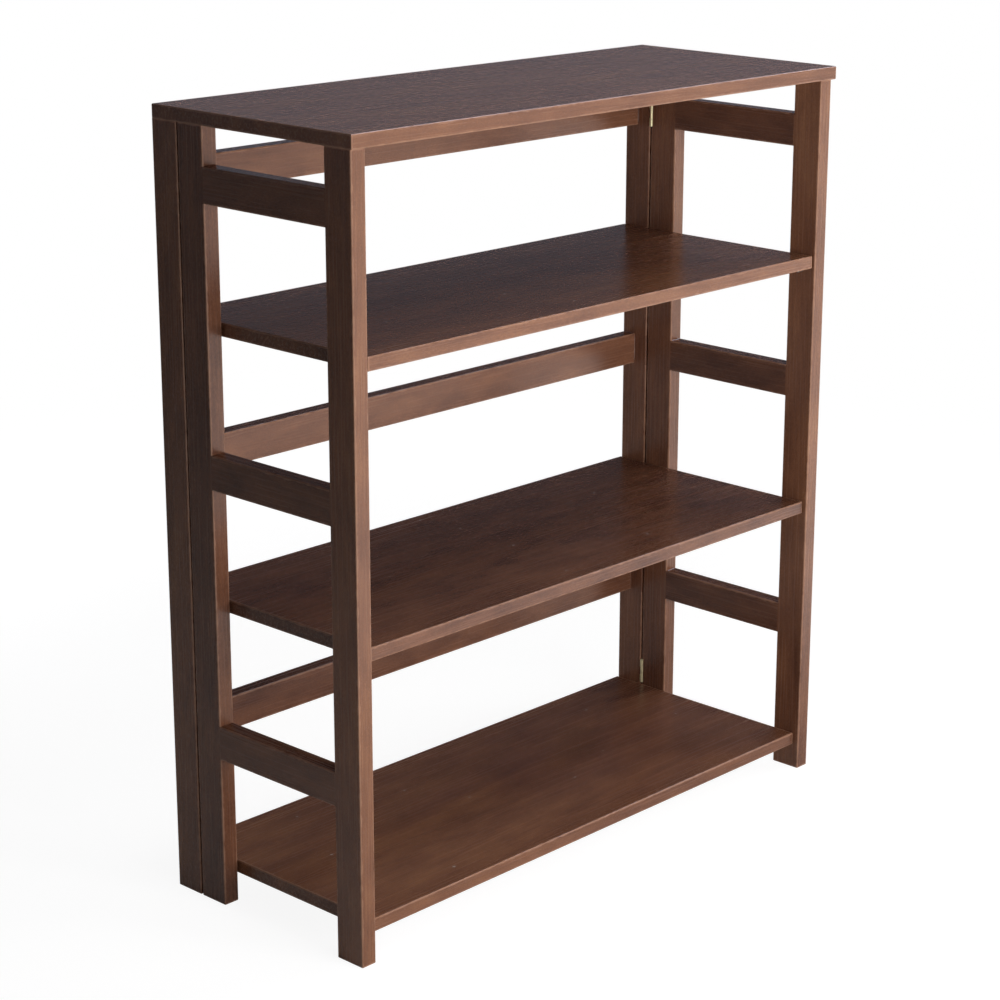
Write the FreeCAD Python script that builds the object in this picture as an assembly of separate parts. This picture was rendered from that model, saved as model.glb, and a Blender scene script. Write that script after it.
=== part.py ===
import FreeCAD, Part

import os

# Folding bookcase, in millimetres. +Z is up, the front faces -Y, X runs from left to right.
# The origin is on the floor, at the middle of the overall width and depth, with the top
# hinges counted in the depth.
#
# A back frame (two stiles, three rails) carries everything. A ladder-shaped side frame is
# hinged to the front edge of each back stile and folds inward about an upright pin. Three
# shelves turn on pins in the back stiles and fold up into the recess in front of the back
# rails. Their front ends lie on pins in the front stiles. The top board turns on two hinges
# behind its rear edge and hangs behind the back frame when folded.

# Overall sizes
TOP_WIDTH = 759.5
TOP_DEPTH = 296.0
TOP_THICKNESS = 15.0
HEIGHT = 864.0
TOP_FRONT_Y = -153.6
TOP_OVERHANG = 4.5
FRAME_WIDTH = 754.0
FRAME_DEPTH = 295.5

# Stiles and rails
BOARD_THICKNESS = 19.0
STILE_WIDTH = 38.0
RAIL_HEIGHT = 38.0
RAIL_TOPS = {"upper": 807.5, "middle": 507.5, "lower": 207.5}
HINGE_GAP = 2.2
EASED_EDGE = 1.5
END_EDGE = 0.8

# Shelves
SHELF_THICKNESS = 15.0
SHELF_SETBACKS = {"upper": 2.5, "middle": 4.5, "lower": 6.5}
SHELF_END_GAP = 2.2
SHELF_TOPS = {"upper": 644.5, "middle": 344.5, "lower": 46.0}

# Round pins and dowels
DOWEL_R = 3.0
DOWEL_LENGTH = 30.0
DOWEL_END_CHAMFER = 0.8
DOWEL_SPACING = 18.0
DOWEL_IN_BACK_STILE = 12.0
PIVOT_R = 2.5
PIVOT_IN_STILE = 14.0
PIVOT_IN_SHELF = 18.0
REST_PIN_R = 3.0
REST_PIN_IN_STILE = 12.0
REST_PIN_OUT = 9.0
REST_PIN_GAP = 0.3
PIN_TIP_FILLET = 1.0
GLUE_GAP = 0.02
RUNNING_GAP = 0.05
HOLE_EXTRA_DEPTH = 0.5
CUT_OVER = 1.0

# Brass butt hinges between the back stiles and the side frames
LEAF_THICKNESS = 1.0
LEAF_LENGTH = 16.0
LEAF_SCREW_SHIFT = 1.0
HINGE_HEIGHT = 30.0
KNUCKLE_R = 1.9
KNUCKLE_GAP = 0.3
KNUCKLE_WEB = 1.8
HINGE_PIN_R = 0.9
HINGE_PIN_HEAD_R = 1.5
HINGE_PIN_HEAD = 0.6
HINGE_AXIS_FORWARD = 2.4
KNUCKLE_RELIEF = 0.3
HINGE_BOTTOMS = {"upper": 769.5, "lower": 48.0}

# Brass hinges behind the top board
TOP_HINGE_X = 364.0
TOP_LEAF_WIDTH = 11.0
TOP_LEAF_THICKNESS = 1.2
TOP_LEAF_BOTTOM = 815.0
TOP_LEAF_SHOULDER = 856.0
TOP_LEAF_LIFT = 1.2
BOARD_LEAF_WIDTH = 24.0
TOP_KNUCKLE_R = 1.9
TOP_AXIS_BEHIND = 5.3
TOP_AXIS_Z = 860.0
TOP_MIDDLE_KNUCKLE = 4.0

# Countersunk wood screws
SCREW_HEAD_R = 2.6
SCREW_HEAD_DEPTH = 1.3
SCREW_R = 1.3
SCREW_LENGTH = 13.0
SCREW_TIP = 2.0
SCREW_TIP_R = 0.3
SCREW_SLOT = 0.6
SCREW_SLOT_REACH = 1.8
SCREW_SLOT_DEPTH = 0.5
SCREW_SPACING = 18.0
TOP_SCREW_HEIGHTS = (822.0, 840.0)
BOARD_SCREW_SPACING = 14.0
BOARD_SCREW_Z = 856.0

# Positions that follow from the sizes above
TOP_UNDERSIDE = HEIGHT - TOP_THICKNESS
TOP_REAR_Y = TOP_FRONT_Y + TOP_DEPTH
FRONT_Y = TOP_FRONT_Y + TOP_OVERHANG
REAR_Y = FRONT_Y + FRAME_DEPTH
TOP_AXIS_Y = REAR_Y + TOP_AXIS_BEHIND
OUTER_X = FRAME_WIDTH / 2
INNER_X = OUTER_X - BOARD_THICKNESS
STILE_MIDDLE_X = OUTER_X - BOARD_THICKNESS / 2
BACK_FRONT_Y = REAR_Y - STILE_WIDTH
BACK_RAIL_Y = REAR_Y - BOARD_THICKNESS
SIDE_REAR_Y = BACK_FRONT_Y - HINGE_GAP
PIVOT_Y = (BACK_FRONT_Y + BACK_RAIL_Y) / 2
SHELF_END_X = INNER_X - SHELF_END_GAP
HINGE_Y = BACK_FRONT_Y - HINGE_AXIS_FORWARD
REST_PIN_Y = FRONT_Y + STILE_WIDTH / 2
PIVOT_HEIGHTS = [top - SHELF_THICKNESS / 2 for top in SHELF_TOPS.values()]
REST_PIN_HEIGHTS = [
    top - SHELF_THICKNESS - REST_PIN_GAP - REST_PIN_R for top in SHELF_TOPS.values()
]

# Tests on edges: a board corner by its number, and how near counts as the same
LOW_CORNER = 0
HIGH_CORNER = 6
STRAIGHT = 0.999
SAME_LEVEL = 1e-6
PROBE = 0.1

X = FreeCAD.Vector(1, 0, 0)
Y = FreeCAD.Vector(0, 1, 0)
Z = FreeCAD.Vector(0, 0, 1)


def vec(x, y, z):
    """A point or direction."""
    return FreeCAD.Vector(x, y, z)


def block(x0, x1, y0, y1, z0, z1):
    """A plain box between two opposite corners."""
    return Part.makeBox(x1 - x0, y1 - y0, z1 - z0, vec(x0, y0, z0))


def rod(start, direction, radius, length):
    """A cylinder from a point along a direction."""
    return Part.makeCylinder(radius, length, start, direction)


def at_end(edge, solid, grain):
    """Whether an edge lies in one of the two end faces across the grain."""
    box = solid.BoundBox
    ends = [box.getPoint(n).dot(grain) for n in (LOW_CORNER, HIGH_CORNER)]
    levels = [vertex.Point.dot(grain) for vertex in edge.Vertexes]
    return any(all(abs(level - end) < SAME_LEVEL for level in levels) for end in ends)


def is_outer_corner(edge, solid):
    """Whether only one of the four quarters round a straight edge is wood."""
    first, last = edge.Vertexes[0].Point, edge.Vertexes[-1].Point
    run = (last - first).normalize()
    across = [axis * PROBE for axis in (X, Y, Z) if abs(axis.dot(run)) < STRAIGHT]
    middle = (first + last) / 2
    quarters = [middle + across[0] * i + across[1] * j for i in (-1, 1) for j in (-1, 1)]
    return sum(solid.isInside(point, SAME_LEVEL, False) for point in quarters) == 1


def eased(solid, grain):
    """Outer corners rounded over, and the ends across the grain more finely."""
    corners = [
        edge
        for edge in solid.Edges
        if is_outer_corner(edge, solid) and not at_end(edge, solid, grain)
    ]
    solid = solid.makeFillet(EASED_EDGE, corners)
    return solid.makeFillet(END_EDGE, [e for e in solid.Edges if at_end(e, solid, grain)])


def fused(boards):
    """Boards glued into one frame, before its corners are rounded over."""
    return boards[0].fuse(boards[1:]).removeSplitter()


def group(solids):
    """Separate solids of one node."""
    return Part.makeCompound(list(solids))


def mirrored(shape):
    """The left-hand copy of a right-hand shape."""
    return shape.mirror(vec(0, 0, 0), X)


def save(name, shape):
    """One STEP file for one node."""
    shape.exportStep("parts/" + name + ".step")


def save_both_sides(name, shape):
    """The right-hand node and its mirror image on the left."""
    save("right_" + name, shape)
    save("left_" + name, mirrored(shape))


def dowel(start, direction):
    """A glue dowel with chamfered ends."""
    pin = rod(start, direction, DOWEL_R, DOWEL_LENGTH)
    return pin.makeChamfer(DOWEL_END_CHAMFER, [pin.Edges[0], pin.Edges[2]])


def dowel_hole(start, direction):
    """The bore that takes one dowel, a little longer at each end."""
    begin = start - direction * HOLE_EXTRA_DEPTH
    return rod(begin, direction, DOWEL_R + GLUE_GAP, DOWEL_LENGTH + 2 * HOLE_EXTRA_DEPTH)


def screw_body(start, direction, gap=0.0):
    """Countersunk head, shank and point. With a gap it is the hole the screw fills."""
    head = Part.makeCone(
        SCREW_HEAD_R + gap, SCREW_R + gap, SCREW_HEAD_DEPTH, start, direction
    )
    shank_start = start + direction * SCREW_HEAD_DEPTH
    shank_length = SCREW_LENGTH - SCREW_HEAD_DEPTH - SCREW_TIP
    shank = rod(shank_start, direction, SCREW_R + gap, shank_length)
    tip_start = shank_start + direction * shank_length
    tip = Part.makeCone(SCREW_R + gap, SCREW_TIP_R + gap, SCREW_TIP + gap, tip_start, direction)
    return head.fuse([shank, tip]).removeSplitter()


def screw(start, direction):
    """A wood screw with a cross recess in its head."""
    across = X if abs(direction.dot(X)) < 0.5 else Y
    other = direction.cross(across)
    body = screw_body(start, direction)
    for arm in (across, other):
        side = direction.cross(arm)
        reach = arm * SCREW_SLOT_REACH
        half = side * SCREW_SLOT / 2
        corners = [start - reach - half, start + reach - half, start + reach + half]
        corners += [start - reach + half, corners[0]]
        slot = Part.Face(Part.makePolygon(corners))
        body = body.cut(slot.extrude(direction * SCREW_SLOT_DEPTH))
    return body


def rail_joints(rail_top):
    """Heights of the two dowels in one rail end."""
    middle = rail_top - RAIL_HEIGHT / 2
    return (middle - DOWEL_SPACING / 2, middle + DOWEL_SPACING / 2)


def cut_all(shape, tools):
    """A shape less all of a list of tools."""
    return shape.cut(list(tools)).removeSplitter()


# Back frame


def back_dowel_starts():
    """Where the dowels of the right back joints begin, inside the stile."""
    start_x = INNER_X + DOWEL_IN_BACK_STILE
    y = REAR_Y - BOARD_THICKNESS / 2
    return [vec(start_x, y, z) for top in RAIL_TOPS.values() for z in rail_joints(top)]


def rail_span(top, over=0.0):
    """Bottom and top of a rail, or of the cut that parts it from its frame."""
    return top - RAIL_HEIGHT - over, top + over


def make_back_frame():
    """Two stiles 38 mm deep, three rails flush with their rear edges, and the dowels.

    The frame is rounded over as a whole and then parted at its joints, so that the joints
    stay tight and flush.
    """
    stile = block(INNER_X, OUTER_X, BACK_FRONT_Y, REAR_Y, 0, TOP_UNDERSIDE)
    boards = [stile, mirrored(stile)]
    for top in RAIL_TOPS.values():
        boards.append(block(-INNER_X, INNER_X, BACK_RAIL_Y, REAR_Y, *rail_span(top)))
    frame = eased(fused(boards), Z)
    front, rear = BACK_FRONT_Y - CUT_OVER, REAR_Y + CUT_OVER

    starts = back_dowel_starts()
    holes = [dowel_hole(s, -X) for s in starts]
    for z in PIVOT_HEIGHTS:
        begin = vec(INNER_X - CUT_OVER, PIVOT_Y, z)
        depth = CUT_OVER + PIVOT_IN_STILE + HOLE_EXTRA_DEPTH
        holes.append(rod(begin, X, PIVOT_R + GLUE_GAP, depth))
    holes += [screw_body(s, Y, GLUE_GAP) for s in frame_leaf_screws()]
    holes += [screw_body(s, -Y, GLUE_GAP) for s in top_frame_screws()]
    holes.append(top_leaf_pocket())
    right_end = block(
        INNER_X, OUTER_X + CUT_OVER, front, rear, -CUT_OVER, TOP_UNDERSIDE + CUT_OVER
    )
    save_both_sides("back_stile", cut_all(frame.common(right_end), holes))

    for name, top in RAIL_TOPS.items():
        between = block(-INNER_X, INNER_X, front, rear, *rail_span(top, CUT_OVER))
        ends = [dowel_hole(s, -X) for s in starts if top - RAIL_HEIGHT < s.z < top]
        ends += [mirrored(end) for end in ends]
        save("back_" + name + "_rail", cut_all(frame.common(between), ends))

    right = [dowel(s, -X) for s in starts]
    save("back_frame_dowels", group(right + [mirrored(d) for d in right]))


def make_shelf_pins():
    """Steel pins that the shelves turn on, pressed into the back stiles."""
    length = PIVOT_IN_STILE + SHELF_END_GAP + PIVOT_IN_SHELF
    right = []
    for z in PIVOT_HEIGHTS:
        pin = rod(vec(INNER_X + PIVOT_IN_STILE, PIVOT_Y, z), -X, PIVOT_R, length)
        right.append(pin.makeChamfer(DOWEL_END_CHAMFER, [pin.Edges[0], pin.Edges[2]]))
    save("shelf_pivot_pins", group(right + [mirrored(p) for p in right]))


# Side frames


def side_dowels():
    """Start points and directions of the dowels in the right side frame."""
    half = DOWEL_LENGTH / 2
    front_joint = FRONT_Y + STILE_WIDTH
    rear_joint = SIDE_REAR_Y - STILE_WIDTH
    starts = []
    for top in RAIL_TOPS.values():
        for z in rail_joints(top):
            starts.append(vec(STILE_MIDDLE_X, front_joint - half, z))
            starts.append(vec(STILE_MIDDLE_X, rear_joint - half, z))
    return starts


def make_side_frames():
    """A ladder of two stiles and three rails of one thickness, flush on both faces.

    It is rounded over as a whole and then parted at its joints, as the back frame is.
    """
    front_joint = FRONT_Y + STILE_WIDTH
    rear_joint = SIDE_REAR_Y - STILE_WIDTH
    boards = [
        block(INNER_X, OUTER_X, FRONT_Y, front_joint, 0, TOP_UNDERSIDE),
        block(INNER_X, OUTER_X, rear_joint, SIDE_REAR_Y, 0, TOP_UNDERSIDE),
    ]
    for top in RAIL_TOPS.values():
        boards.append(block(INNER_X, OUTER_X, front_joint, rear_joint, *rail_span(top)))
    frame = eased(fused(boards), Z)
    inner, outer = INNER_X - CUT_OVER, OUTER_X + CUT_OVER
    foot, head = -CUT_OVER, TOP_UNDERSIDE + CUT_OVER

    holes = [dowel_hole(s, Y) for s in side_dowels()]
    pin_bores = []
    depth = CUT_OVER + REST_PIN_IN_STILE + HOLE_EXTRA_DEPTH
    for z in REST_PIN_HEIGHTS:
        begin = vec(INNER_X - CUT_OVER, REST_PIN_Y, z)
        pin_bores.append(rod(begin, X, REST_PIN_R + GLUE_GAP, depth))
    front = frame.common(block(inner, outer, FRONT_Y - CUT_OVER, front_joint, foot, head))
    save_both_sides("front_stile", cut_all(front, holes + pin_bores))

    recesses = [screw_body(s, -Y, GLUE_GAP) for s in side_leaf_screws()]
    for bottom in HINGE_BOTTOMS.values():
        recesses.append(leaf_pocket(bottom))
        recesses.append(knuckle_relief(bottom))
    rear = frame.common(block(inner, outer, rear_joint, SIDE_REAR_Y + CUT_OVER, foot, head))
    save_both_sides("rear_stile", cut_all(rear, holes + recesses))

    for name, top in RAIL_TOPS.items():
        between = block(inner, outer, front_joint, rear_joint, *rail_span(top, CUT_OVER))
        save_both_sides("side_" + name + "_rail", cut_all(frame.common(between), holes))

    save_both_sides("side_frame_dowels", group(dowel(s, Y) for s in side_dowels()))


def make_rest_pins():
    """Steel pins in the front stiles that the front ends of the shelves lie on."""
    pins = []
    for z in REST_PIN_HEIGHTS:
        start = vec(INNER_X + REST_PIN_IN_STILE, REST_PIN_Y, z)
        pin = rod(start, -X, REST_PIN_R, REST_PIN_IN_STILE + REST_PIN_OUT)
        pins.append(pin.makeFillet(PIN_TIP_FILLET, [pin.Edges[0], pin.Edges[2]]))
    save_both_sides("shelf_rest_pins", group(pins))


# Side hinges. Each has an upper and a lower knuckle on the back stile's leaf and a middle
# knuckle on the side frame's leaf.


def knuckle_spans(bottom):
    """Bottom and top of the three knuckles of one hinge."""
    third = HINGE_HEIGHT / 3
    spans = []
    for n in range(3):
        low = bottom + n * third + (KNUCKLE_GAP / 2 if n else 0)
        high = bottom + (n + 1) * third - (KNUCKLE_GAP / 2 if n < 2 else 0)
        spans.append((low, high))
    return spans


def knuckle(low, high, radius):
    """An upright round post on the axis of the right side hinges."""
    return rod(vec(INNER_X, HINGE_Y, low), Z, radius, high - low)


def leaf_pocket(bottom):
    """The shallow pocket in the rear stile that the side leaf is let into."""
    return block(
        INNER_X - CUT_OVER,
        INNER_X + LEAF_LENGTH + GLUE_GAP,
        SIDE_REAR_Y - LEAF_THICKNESS,
        SIDE_REAR_Y + CUT_OVER,
        bottom - GLUE_GAP,
        bottom + HINGE_HEIGHT + GLUE_GAP,
    )


def knuckle_relief(bottom):
    """The round hollow in the rear stile's corner that clears the knuckles."""
    extra = HINGE_PIN_HEAD + KNUCKLE_RELIEF
    return knuckle(bottom - extra, bottom + HINGE_HEIGHT + extra, KNUCKLE_R + KNUCKLE_RELIEF)


def screw_heights(bottom):
    """Heights of the two screws in one hinge leaf."""
    middle = bottom + HINGE_HEIGHT / 2
    return (middle - SCREW_SPACING / 2, middle + SCREW_SPACING / 2)


def leaf_screws(y):
    """Head centres of the screws in the right side hinges, for leaves whose face is at y."""
    x = INNER_X + LEAF_LENGTH / 2 + LEAF_SCREW_SHIFT
    return [vec(x, y, z) for b in HINGE_BOTTOMS.values() for z in screw_heights(b)]


def frame_leaf_screws():
    """Screws that hold the leaves on the right back stile."""
    return leaf_screws(BACK_FRONT_Y - LEAF_THICKNESS)


def side_leaf_screws():
    """Screws that hold the leaves on the right rear stile."""
    return leaf_screws(SIDE_REAR_Y)


def hinge_leaf(bottom, front_y, rear_y, own, other):
    """A flat leaf with its own knuckles, cut back where the other leaf's knuckles turn."""
    top = bottom + HINGE_HEIGHT
    shape = block(INNER_X, INNER_X + LEAF_LENGTH, front_y, rear_y, bottom, top)
    spans = knuckle_spans(bottom)
    for n in other:
        low = spans[n][0] - (KNUCKLE_GAP if n else CUT_OVER)
        high = spans[n][1] + (KNUCKLE_GAP if n < 2 else CUT_OVER)
        shape = shape.cut(knuckle(low, high, KNUCKLE_R + KNUCKLE_GAP))
    for n in own:
        low, high = spans[n]
        web_front = min(front_y, HINGE_Y)
        web_left = INNER_X - KNUCKLE_WEB / 2
        web = block(web_left, web_left + KNUCKLE_WEB, web_front, rear_y, low, high)
        shape = shape.fuse([knuckle(low, high, KNUCKLE_R), web])
    bore = knuckle(bottom - CUT_OVER, top + CUT_OVER, HINGE_PIN_R + RUNNING_GAP)
    return shape.cut(bore).removeSplitter()


def make_side_hinges():
    """Leaves, pins and screws of the hinges at both sides."""
    frame_leaves, side_leaves, pins = [], [], []
    for bottom in HINGE_BOTTOMS.values():
        leaf_front = BACK_FRONT_Y - LEAF_THICKNESS
        frame_leaf = hinge_leaf(bottom, leaf_front, BACK_FRONT_Y, own=(0, 2), other=(1,))
        side_front = SIDE_REAR_Y - LEAF_THICKNESS
        side_leaf = hinge_leaf(bottom, side_front, SIDE_REAR_Y, own=(1,), other=(0, 2))
        frame_holes = [screw_body(s, Y, GLUE_GAP) for s in frame_leaf_screws()]
        side_holes = [screw_body(s, -Y, GLUE_GAP) for s in side_leaf_screws()]
        frame_leaves.append(cut_all(frame_leaf, frame_holes))
        side_leaves.append(cut_all(side_leaf, side_holes))
        pin = knuckle(bottom, bottom + HINGE_HEIGHT, HINGE_PIN_R)
        top = bottom + HINGE_HEIGHT
        pins.append(pin.fuse(knuckle(top, top + HINGE_PIN_HEAD, HINGE_PIN_HEAD_R)))
    save_both_sides("hinge_frame_leaves", group(frame_leaves))
    save_both_sides("hinge_side_leaves", group(side_leaves))
    save_both_sides("hinge_pins", group(pins))
    save_both_sides("hinge_frame_screws", group(screw(s, Y) for s in frame_leaf_screws()))
    save_both_sides("hinge_side_screws", group(screw(s, -Y) for s in side_leaf_screws()))


# Top hinges. The pin lies behind the rear edge and level with the top board, so that the
# board can turn past upright and hang flat behind the back frame.


def top_axis_rod(x0, x1, radius):
    """A round bar on the axis of the top hinges."""
    return rod(vec(x0, TOP_AXIS_Y, TOP_AXIS_Z), X, radius, x1 - x0)


def top_leaf_ends(width):
    """Left and right end of a leaf of the right top hinge, from its outer end inwards."""
    outer = TOP_HINGE_X + TOP_LEAF_WIDTH / 2
    return outer - width, outer


def top_leaf_pocket():
    """The shallow pocket in the back stile that a top hinge's leaf is let into."""
    x0, x1 = top_leaf_ends(TOP_LEAF_WIDTH)
    return block(
        x0 - GLUE_GAP,
        x1 + GLUE_GAP,
        REAR_Y - TOP_LEAF_THICKNESS,
        REAR_Y + CUT_OVER,
        TOP_LEAF_BOTTOM - GLUE_GAP,
        TOP_UNDERSIDE + CUT_OVER,
    )


def top_frame_screws():
    """Screws of the right top hinge in the back stile."""
    return [vec(TOP_HINGE_X, REAR_Y, z) for z in TOP_SCREW_HEIGHTS]


def top_board_screws():
    """Screws of the right top hinge in the rear edge of the top board."""
    y = TOP_REAR_Y + TOP_LEAF_THICKNESS
    middle = sum(top_leaf_ends(BOARD_LEAF_WIDTH)) / 2
    half = BOARD_SCREW_SPACING / 2
    return [vec(middle + dx, y, BOARD_SCREW_Z) for dx in (-half, half)]


def make_top_hinges():
    """Leaves, pins and screws of the two hinges behind the top board."""
    x0, x1 = top_leaf_ends(TOP_LEAF_WIDTH)
    mid0 = TOP_HINGE_X - TOP_MIDDLE_KNUCKLE / 2
    mid1 = TOP_HINGE_X + TOP_MIDDLE_KNUCKLE / 2
    t = TOP_LEAF_THICKNESS
    low = TOP_AXIS_Z - TOP_KNUCKLE_R
    high = TOP_AXIS_Z + TOP_KNUCKLE_R
    bore = top_axis_rod(x0 - CUT_OVER, x1 + CUT_OVER, HINGE_PIN_R + RUNNING_GAP)

    pieces = [block(x0, x1, REAR_Y - t, REAR_Y, TOP_LEAF_BOTTOM, TOP_LEAF_SHOULDER)]
    for a, b in ((x0, mid0 - KNUCKLE_GAP), (mid1 + KNUCKLE_GAP, x1)):
        pieces.append(block(a, b, REAR_Y - t, REAR_Y, TOP_LEAF_SHOULDER, low + t))
        pieces.append(block(a, b, REAR_Y - t, TOP_AXIS_Y, low, low + t))
        pieces.append(top_axis_rod(a, b, TOP_KNUCKLE_R))
    frame_leaf = pieces[0].fuse(pieces[1:]).cut(bore)
    frame_leaf = cut_all(frame_leaf, [screw_body(s, -Y, GLUE_GAP) for s in top_frame_screws()])

    plate_bottom = TOP_UNDERSIDE + TOP_LEAF_LIFT
    pieces = [
        block(*top_leaf_ends(BOARD_LEAF_WIDTH), TOP_REAR_Y, TOP_REAR_Y + t, plate_bottom, high),
        block(mid0, mid1, TOP_REAR_Y, TOP_AXIS_Y, high - t, high),
        top_axis_rod(mid0, mid1, TOP_KNUCKLE_R),
    ]
    board_leaf = pieces[0].fuse(pieces[1:]).cut(bore)
    board_leaf = cut_all(board_leaf, [screw_body(s, -Y, GLUE_GAP) for s in top_board_screws()])

    pin = top_axis_rod(x0, x1, HINGE_PIN_R)
    frame_screws = [screw(s, -Y) for s in top_frame_screws()]
    board_screws = [screw(s, -Y) for s in top_board_screws()]
    save("top_hinge_frame_leaves", group([frame_leaf, mirrored(frame_leaf)]))
    save("top_hinge_board_leaves", group([board_leaf, mirrored(board_leaf)]))
    save("top_hinge_pins", group([pin, mirrored(pin)]))
    save("top_hinge_frame_screws", group(frame_screws + [mirrored(s) for s in frame_screws]))
    save("top_hinge_board_screws", group(board_screws + [mirrored(s) for s in board_screws]))


# Boards that lie flat


def make_shelves():
    """Three boards from the rear plane almost to the front, bored for the pivot pins.

    Each lower one stops a little further back.
    """
    for name, top in SHELF_TOPS.items():
        front = FRONT_Y + SHELF_SETBACKS[name]
        bottom = top - SHELF_THICKNESS
        board = eased(block(-SHELF_END_X, SHELF_END_X, front, REAR_Y, bottom, top), X)
        start = vec(SHELF_END_X + CUT_OVER, PIVOT_Y, top - SHELF_THICKNESS / 2)
        depth = CUT_OVER + PIVOT_IN_SHELF + HOLE_EXTRA_DEPTH
        bore = rod(start, -X, PIVOT_R + RUNNING_GAP, depth)
        save(name + "_shelf", cut_all(board, [bore, mirrored(bore)]))


def make_top_board():
    """The top board, a little wider and deeper in front than the frames below it."""
    half = TOP_WIDTH / 2
    board = eased(block(-half, half, TOP_FRONT_Y, TOP_REAR_Y, TOP_UNDERSIDE, HEIGHT), X)
    holes = [screw_body(s, -Y, GLUE_GAP) for s in top_board_screws()]
    save("top_board", cut_all(board, holes + [mirrored(h) for h in holes]))


os.makedirs("parts", exist_ok=True)
make_back_frame()
make_shelf_pins()
make_side_frames()
make_rest_pins()
make_side_hinges()
make_top_hinges()
make_shelves()
make_top_board()
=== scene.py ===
import math

import bpy
import numpy as np
from bpy.props import FloatProperty, FloatVectorProperty, PointerProperty
from mathutils import Matrix, Vector


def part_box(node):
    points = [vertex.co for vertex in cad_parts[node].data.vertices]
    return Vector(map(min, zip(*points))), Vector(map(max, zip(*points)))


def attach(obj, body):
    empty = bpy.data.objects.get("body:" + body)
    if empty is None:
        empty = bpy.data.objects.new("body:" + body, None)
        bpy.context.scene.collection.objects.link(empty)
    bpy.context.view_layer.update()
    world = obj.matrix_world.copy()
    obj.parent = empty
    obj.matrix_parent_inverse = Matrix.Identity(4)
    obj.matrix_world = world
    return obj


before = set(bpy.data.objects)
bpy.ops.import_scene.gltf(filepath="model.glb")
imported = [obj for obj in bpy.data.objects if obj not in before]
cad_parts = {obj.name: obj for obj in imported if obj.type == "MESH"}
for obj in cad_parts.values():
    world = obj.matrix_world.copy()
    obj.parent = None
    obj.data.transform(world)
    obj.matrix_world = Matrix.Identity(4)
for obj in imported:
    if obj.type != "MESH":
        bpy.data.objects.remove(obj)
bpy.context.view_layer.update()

bl_info = {
    "name": "Folding bookcase",
    "version": (1, 0, 0),
    "blender": (4, 5, 0),
    "location": "3D View > Sidebar > Bookcase",
    "description": "Stained wood, brass hinges and a plain studio for a folding bookcase",
    "category": "Object",
}

MM = 0.001
EASED = 0.0015
AXES = {"x": 0, "y": 1, "z": 2}

# Boards by the way their grain runs
SIDES = ("left", "right")
LEVELS = ("upper", "middle", "lower")
UPRIGHTS = [f"{side}_{name}_stile" for side in SIDES for name in ("back", "front", "rear")]
BACK_RAILS = [f"back_{level}_rail" for level in LEVELS]
SIDE_RAILS = [f"{side}_side_{level}_rail" for side in SIDES for level in LEVELS]
SHELVES = [f"{level}_shelf" for level in LEVELS]

# How much lighter or darker each board is: partly the stain it took, partly painted light and
# shading for how brightly it is lit
STAIN_AND_PAINTED_SHADES = {
    "left_rear_stile": -0.18,
    "left_back_stile": -0.04,
    "right_rear_stile": -0.10,
    "right_back_stile": -0.07,
    "right_front_stile": -0.04,
    "back_upper_rail": -0.05,
    "back_middle_rail": -0.09,
    "back_lower_rail": -0.25,
    "middle_shelf": -0.21,
    "lower_shelf": -0.08,
    **{f"left_side_{level}_rail": -0.10 for level in LEVELS},
    **{f"right_side_{level}_rail": -0.26 for level in LEVELS},
}

# Painted light and shading: how much lighter than its middle a board is at its upper or right end,
# where the light falls off along it
PAINTED_LIGHT_TILTS = {
    "right_front_stile": 0.12,
    "right_rear_stile": 0.05,
    "middle_shelf": -0.05,
    "lower_shelf": -0.13,
}


# Settings


def colour(name, description, default):
    """A colour setting."""
    return FloatVectorProperty(
        name=name, description=description, default=default, subtype="COLOR", size=3, min=0, max=1
    )


def share(name, description, default):
    """A setting from 0 to 1."""
    return FloatProperty(
        name=name, description=description, default=default, subtype="FACTOR", min=0, max=1
    )


def length(name, description, default):
    """A length setting, in metres."""
    return FloatProperty(
        name=name, description=description, default=default, unit="LENGTH", min=0, precision=5
    )


class WoodSettings(bpy.types.PropertyGroup):
    """Stain, grain and lacquer of the boards."""

    deep: colour("Deep stain", "Stain in the pores and the late wood", (0.075, 0.029, 0.018))
    brown: colour("Brown stain", "Stain over most of a board", (0.190, 0.081, 0.044))
    warm: colour("Warm stain", "Stain where the wood shows through", (0.330, 0.154, 0.074))
    # Pale edge colour: partly stain wear on the eased edges, partly a painted highlight
    rubbed_and_highlit: colour("Rubbed edge", "Stain worn thin along an eased edge", (0.540, 0.300, 0.195))
    scuff: colour("Scuff", "Small pale marks on the flat boards", (0.600, 0.540, 0.530))
    ring_width: length("Ring width", "Distance between two growth rings", 0.0052)
    edge_wear_and_highlight: share("Edge wear", "How far the stain is rubbed off the edges", 0.34)
    lacquer_roughness: share("Lacquer roughness", "Roughness of the clear lacquer", 0.27)
    bead_radius: length("Lacquer bead", "Radius of the lacquer left in an inside corner", 0.0009)


class MetalSettings(bpy.types.PropertyGroup):
    """Hinges, screws, pins and dowels."""

    brass: colour("Brass", "Hinge leaves, pins and knuckles", (0.92, 0.82, 0.50))
    steel: colour("Steel", "Pivot pins and rest pins", (0.56, 0.55, 0.53))
    dowel: colour("Dowel", "Bare beech of the glue dowels", (0.52, 0.36, 0.21))


def power(name, description, default):
    """A lamp's power setting, in watts."""
    return FloatProperty(
        name=name, description=description, default=default, unit="POWER", min=0
    )


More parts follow.
